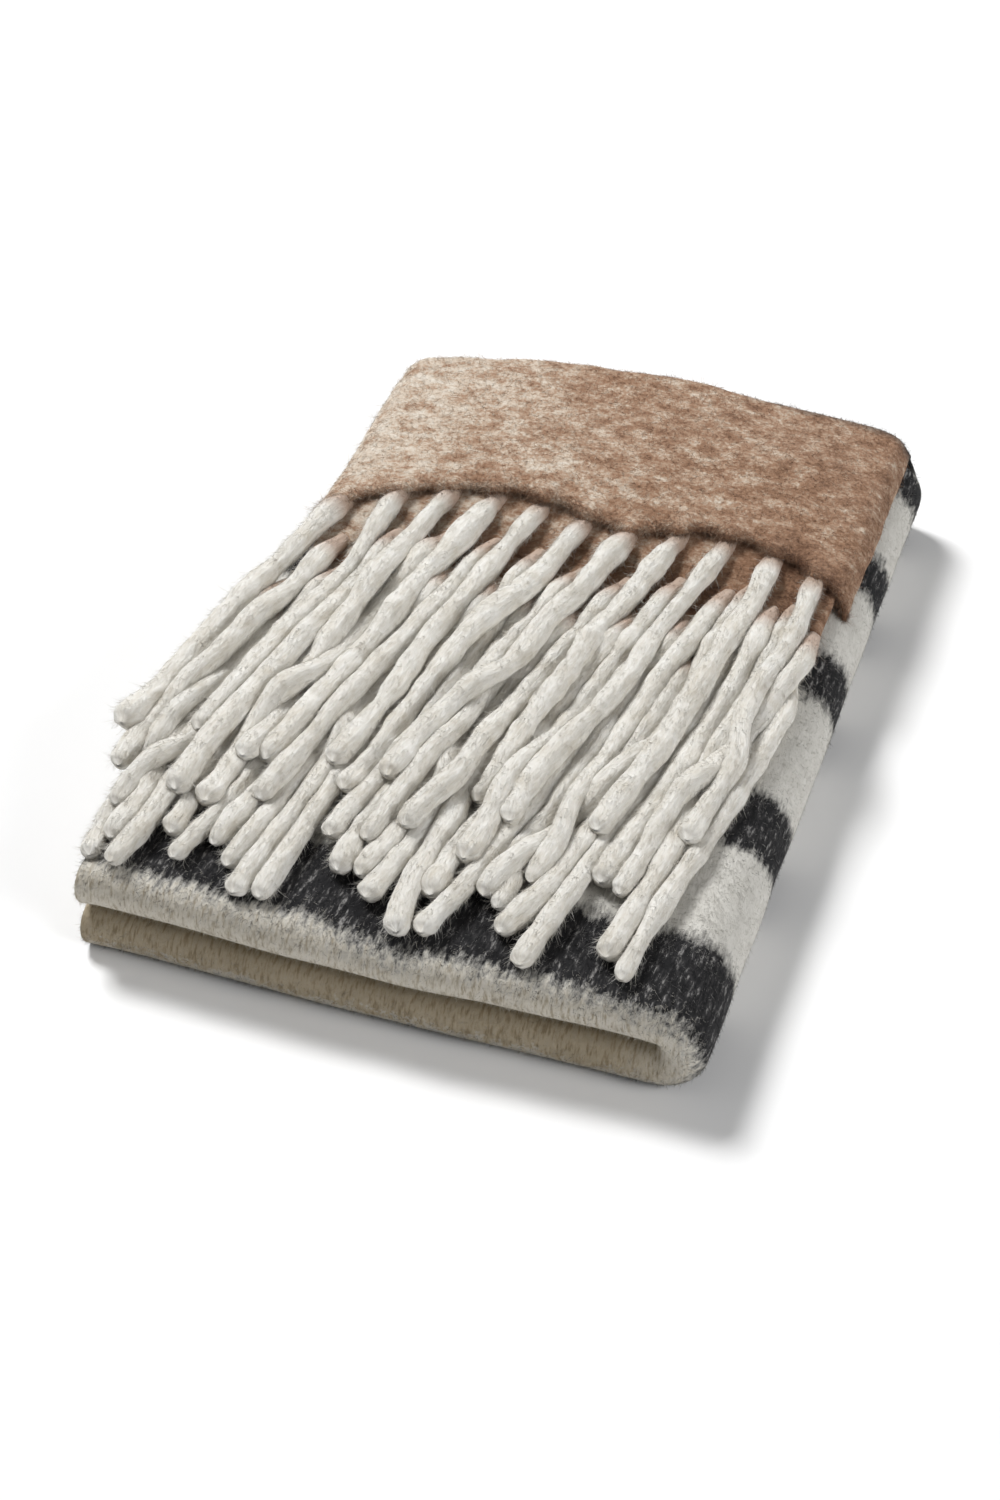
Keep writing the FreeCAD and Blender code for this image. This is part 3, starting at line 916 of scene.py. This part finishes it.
def tassel_hair(line, radius, tangent, side, over, s, rng, seed):
    """Loose fibres on a tassel: some along it, some off it, and more at its cut end."""
    end = int(rng.integers(30, 90))
    straight = NAP + HALO
    count = straight + FLYAWAYS + end
    at = np.concatenate([rng.uniform(0.04, 0.975, straight + FLYAWAYS), rng.uniform(0.962, 0.995, end)])
    k = np.clip((at * (len(s) - 1)).astype(int), 0, len(s) - 2)
    angle = rng.uniform(0, 2 * math.pi, count)
    outward = np.cos(angle)[:, None] * side[k] + np.sin(angle)[:, None] * over[k]
    height = np.concatenate([rng.uniform(0.98, 1.05, NAP), np.full(count - NAP, 0.96)])
    roots = line[k] + outward * (radius[k] * height)[:, None]
    lean = rng.normal(1.1, 0.3, count)[:, None]
    lift = np.concatenate([rng.uniform(-0.04, 0.16, NAP), rng.uniform(0.3, 1.3, count - NAP)])[:, None]
    ways = outward * lift + tangent[k] * lean + rng.normal(0, 0.14, (count, 3))
    lengths = np.concatenate([rng.uniform(4, 11, NAP), rng.uniform(2.5, 5, HALO), rng.uniform(5, 11, FLYAWAYS),
                              rng.uniform(3, 7, end)]) * MM
    bend = rng.normal(0, 1.6, (count, 3)) * MM
    thick = np.concatenate([np.full(NAP, 0.09), np.full(HALO, 0.13)])[:, None] * MM
    short, short_faces = straight_fibres(roots[:straight], ways[:straight], lengths[:straight], thick)
    long, long_faces = thin_fibres(
        roots[straight:], ways[straight:], lengths[straight:], 0.09 * MM, bend[straight:])
    points = np.concatenate([short, long])
    faces = np.concatenate([short_faces, long_faces + len(short)])
    lowest = HEIGHT + 0.1 * MM
    points[(points[:, 2] < lowest) & (points[:, 0] > LEFT), 2] = lowest
    strand = np.stack([s[k], angle * 0.5 + seed, rng.uniform(-0.5, 0.5, count)], axis=1)
    tint = np.repeat(rng.uniform(-1, 1, count)[:, None], 3, axis=1)
    return points, faces, per_point(strand, straight), per_point(tint, straight)


TUCKED = 20                       # tassels inside each half of the stack


def tucked_fringe():
    """The other end's fringe, which lies flat inside the stack."""
    points, faces, strands = [], [], []
    around = np.linspace(0, 2 * math.pi, 10, endpoint=False)
    for leg in ("upper", "lower"):
        low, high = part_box(leg + "_hidden_fringe")
        radius = (high[2] - low[2]) / 2 * 0.93
        across = (high[0] - low[0]) / TUCKED
        for number in range(TUCKED):
            s = np.linspace(0, high[1] - low[1], 30)
            x = low[0] + across * (number + 0.5)
            size = radius * np.sqrt(unit(s / radius) * unit((s[-1] - s) / radius))
            probe = np.stack([s, np.full_like(s, number * 0.3), np.zeros_like(s)], axis=1)
            size = size * (0.95 + 0.05 * smooth_noise(probe, 0.03, 900 + number))
            ring = np.stack([
                x + size[:, None] * np.cos(around),
                np.repeat((high[1] - s)[:, None], len(around), axis=1),
                (low[2] + high[2]) / 2 + size[:, None] * np.sin(around)], axis=2).reshape(-1, 3)
            faces.append(tube_faces(len(s), len(around)) + sum(len(p) for p in points))
            points.append(ring)
            strands.append(round_strand(s, around, 0.35, number))
    obj = new_mesh("tucked_fringe", np.concatenate(points), np.concatenate(faces), ROVING)
    set_vectors(obj, "strand", np.concatenate(strands))
    set_vectors(obj, "tint", np.zeros((len(obj.data.vertices), 3)))
    return obj


# ------------------------------------------------------------------ the brushed pile

def read_values(data, key, kind, count):
    """A Blender collection's values, three to each of its items, as an array (count, 3)."""
    values = np.zeros(count * 3, kind)
    data.foreach_get(key, values)
    return values.reshape(-1, 3)


def surface_samples(obj, count, rng, keep):
    """Random places on a mesh, as dense as keep(points, normals, cloth) says, with their normals and cloth."""
    mesh = obj.data
    mesh.calc_loop_triangles()
    corner = read_values(mesh.loop_triangles, "vertices", np.int32, len(mesh.loop_triangles))
    points = read_values(mesh.vertices, "co", np.float32, len(mesh.vertices)).astype(float)
    cloth = read_values(mesh.attributes["cloth"].data, "vector", np.float32, len(mesh.vertices)).astype(float)
    a, b, c = points[corner[:, 0]], points[corner[:, 1]], points[corner[:, 2]]
    cross = np.cross(b - a, c - a)
    area = np.linalg.norm(cross, axis=1) / 2
    normal = cross / np.maximum(area * 2, 1e-12)[:, None]
    middle = (a + b + c) / 3
    weight = area * keep(middle, normal, (cloth[corner[:, 0]] + cloth[corner[:, 1]] + cloth[corner[:, 2]]) / 3)
    chosen = rng.choice(len(corner), count, p=weight / weight.sum())
    r1 = np.sqrt(rng.uniform(size=count))[:, None]
    r2 = rng.uniform(size=count)[:, None]
    wa, wb, wc = 1 - r1, r1 * (1 - r2), r1 * r2
    ids = corner[chosen]
    place = points[ids[:, 0]] * wa + points[ids[:, 1]] * wb + points[ids[:, 2]] * wc
    value = cloth[ids[:, 0]] * wa + cloth[ids[:, 1]] * wb + cloth[ids[:, 2]] * wc
    return place, normal[chosen], value


def make_pile(name, source, count, seed, keep, long_mm, radius_mm, material, curved=0.12, messy=0.6):
    """Brushed fibres on a piece of cloth, combed towards the front; a share of them longer and curved."""
    rng = np.random.default_rng(seed)
    place, normal, value = surface_samples(source, count, rng, keep)
    comb = np.array([0.0, -1.0, 0.0]) + rng.normal(0, messy, (count, 3))
    comb -= normal * (comb * normal).sum(axis=1)[:, None]
    ways = normal * rng.uniform(0.12, 0.75, count)[:, None] + comb
    lengths = rng.uniform(0.45, 1.0, count) * long_mm * MM
    bend = rng.normal(0, 0.14, (count, 3)) * long_mm * MM
    roots = place - normal * 0.25 * MM
    split = int(count * (1 - curved))
    short, short_faces = straight_fibres(roots[:split], ways[:split], lengths[:split], radius_mm * MM)
    long, long_faces = thin_fibres(
        roots[split:], ways[split:], lengths[split:] * 1.7, radius_mm * 0.7 * MM, bend[split:])
    points = np.concatenate([short, long])
    points[:, 2] = np.maximum(points[:, 2], 0.05 * MM)
    obj = new_mesh(name, points, np.concatenate([short_faces, long_faces + len(short)]), material)
    value[:, 2] = rng.uniform(-1, 1, count)
    set_vectors(obj, "cloth", per_point(value, split))
    return obj


# ------------------------------------------------------------------ build

outer_ply, outer_flat = stack_ply("stack_outer_ply", PLY_OFFSET)
inner_ply, inner_flat = stack_ply("stack_inner_ply", -PLY_OFFSET)
flap_plies = [flap_ply(index) for index in range(4)]
tucked = tucked_fringe()
SHAPES = fringe_shapes()
tassels = {key: make_tassel(*key) for key in EACH}


def stack_top(point, normal, _cloth):
    top = (normal[:, 2] > 0.3) & (point[:, 2] > HEIGHT - 9 * MM) & (point[:, 1] < 60 * MM)
    return top * np.where(point[:, 1] < -130 * MM, 1.6, 0.6)


def stack_sides(point, normal, _cloth):
    side = (point[:, 0] > BEND_X + 4 * MM) & (normal[:, 0] > 0.1)
    front = (point[:, 1] < FRONT + 14 * MM) & (normal[:, 1] < -0.1)
    left = point[:, 0] < LEFT + 3 * MM
    return side * 1.0 + front * 1.3 + left * 0.6


top_pile = make_pile("stack_top_pile", outer_ply, 38000, 31, stack_top, 4.8, 0.115, BANDED)
side_pile = make_pile("stack_side_pile", outer_ply, 38000, 33, stack_sides, 3.2, 0.10, BANDED)


def flap_shown(_point, normal, cloth):
    shown = (normal[:, 2] > 0.15) | (normal[:, 1] > 0.3) | (cloth[:, 0] < 0.010)
    return shown * np.where(cloth[:, 0] < 0.010, 3.0, 1.0)


def edge_shown(_point, _normal, cloth):
    return (cloth[:, 0] < 0.006) * 1.0


def ply_edge_shown(_point, normal, cloth):
    return ((cloth[:, 0] < 0.0095) & (normal[:, 2] > -0.4)) * np.where(cloth[:, 0] < 0.0015, 3.0, 1.0)


flap_top = flap_plies[0][0]
flap_pile = make_pile("flap_pile", flap_top, 34000, 32, flap_shown, 5.0, 0.135, BROWN_WOOL, 0.3, 1.3)
flap_edge = make_pile("flap_edge_pile_0", flap_top, 5000, 39, edge_shown, 6.5, 0.12, BROWN_WOOL, 0.6, 0.6)
under_piles = [
    make_pile("flap_edge_pile_%d" % index, flap_plies[index][0], 5000, 40 + index,
              ply_edge_shown, 6.5, 0.12, BROWN_WOOL, 0.3)
    for index in (1, 2, 3)]

# ------------------------------------------------------------------ bodies and replaced nodes

PANELS = ["%s_%s_panel" % (leg, kind)
          for leg in ("upper", "side_fold", "lower") for kind in ("outer", "inner", "end")]
for piece in (outer_ply, inner_ply, top_pile, side_pile, tucked):
    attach(piece, "root")
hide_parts(*[name for name in PANELS if "outer" in name])
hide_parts(*[name for name in PANELS if "outer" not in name])
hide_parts("upper_hidden_fringe", "lower_hidden_fringe")

for index, (cloth, _) in enumerate(flap_plies):
    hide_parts("flap_ply_%d" % (index + 1))
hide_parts("back_wrap")
for piece in (flap_top, flap_pile, flap_edge):
    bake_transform(piece)
for index in (1, 2, 3):
    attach(flap_plies[index][0], "flap")
    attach(under_piles[index - 1], "flap")
    under_piles[index - 1]

for (row, number), piece in tassels.items():
    body = "top_tassel_%02d" % (number + 1) if row == 0 else "flap"
    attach(piece, body)
    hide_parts("tassel_row%d_%02d" % (row + 1, number + 1))

for index, (cloth, flat) in enumerate(flap_plies):
    fringe = [tassels[index, number] for number in range(PER_ROW)]
    nap = [flap_pile, flap_edge] if index == 0 else [under_piles[index - 1]]
    fringe + nap

# ------------------------------------------------------------------ floor, light and camera


def add_floor():
    bpy.ops.mesh.primitive_plane_add(size=14, location=(0, 0, -0.0004))
    floor = bpy.context.object
    floor.name = "floor"
    pale = Wool("pale_floor", 0.8, 0.0)
    join(pale.tree, FLOOR_PALE, pale.shader.inputs["Base Color"])
    floor.data.materials.append(pale.material)


def add_area(name, place, target, size, power):
    light = bpy.data.lights.new(name, "AREA")
    light.shape = "RECTANGLE"
    light.size, light.size_y = size
    light.energy = power
    obj = new_object(name, light)
    obj.location = place
    obj.rotation_euler = (Vector(target) - Vector(place)).to_track_quat("-Z", "Y").to_euler()


def add_camera(azimuth, elevation, distance, target, lens):
    a, e = math.radians(azimuth), math.radians(elevation)
    away = Vector((math.sin(a) * math.cos(e), -math.cos(a) * math.cos(e), math.sin(e)))
    camera = bpy.data.cameras.new("camera")
    camera.lens = lens
    camera.sensor_fit = "VERTICAL"
    camera.sensor_height = 36
    camera.clip_end = 20
    obj = new_object("camera", camera)
    obj.location = Vector(target) + away * distance
    obj.rotation_euler = (-away).to_track_quat("-Z", "Y").to_euler()
    bpy.context.scene.camera = obj


add_floor()
# The top light is the key, from behind on the left; the fills soften the left and light the bands on the right
add_area("top_light", (-2.3, 1.5, 3.3), (0, 0, 0), (1.2, 1.2), 200)
add_area("left_fill", (-3.2, -1.8, 1.8), (0, 0, 0.05), (2.4, 1.8), 8)
add_area("right_fill", (3.4, -1.0, 2.0), (0, 0, 0.05), (2.0, 1.6), 84)
world = bpy.data.worlds.new("studio")
world.use_nodes = True
world.node_tree.nodes["Background"].inputs["Color"].default_value = (1, 1, 1, 1)
world.node_tree.nodes["Background"].inputs["Strength"].default_value = 0.14
bpy.context.scene.world = world
bpy.context.scene.view_settings.view_transform = "Standard"
add_camera(18.62, 40.61, 1.481, (-0.0121, -0.0332, 0.0), 64.67)
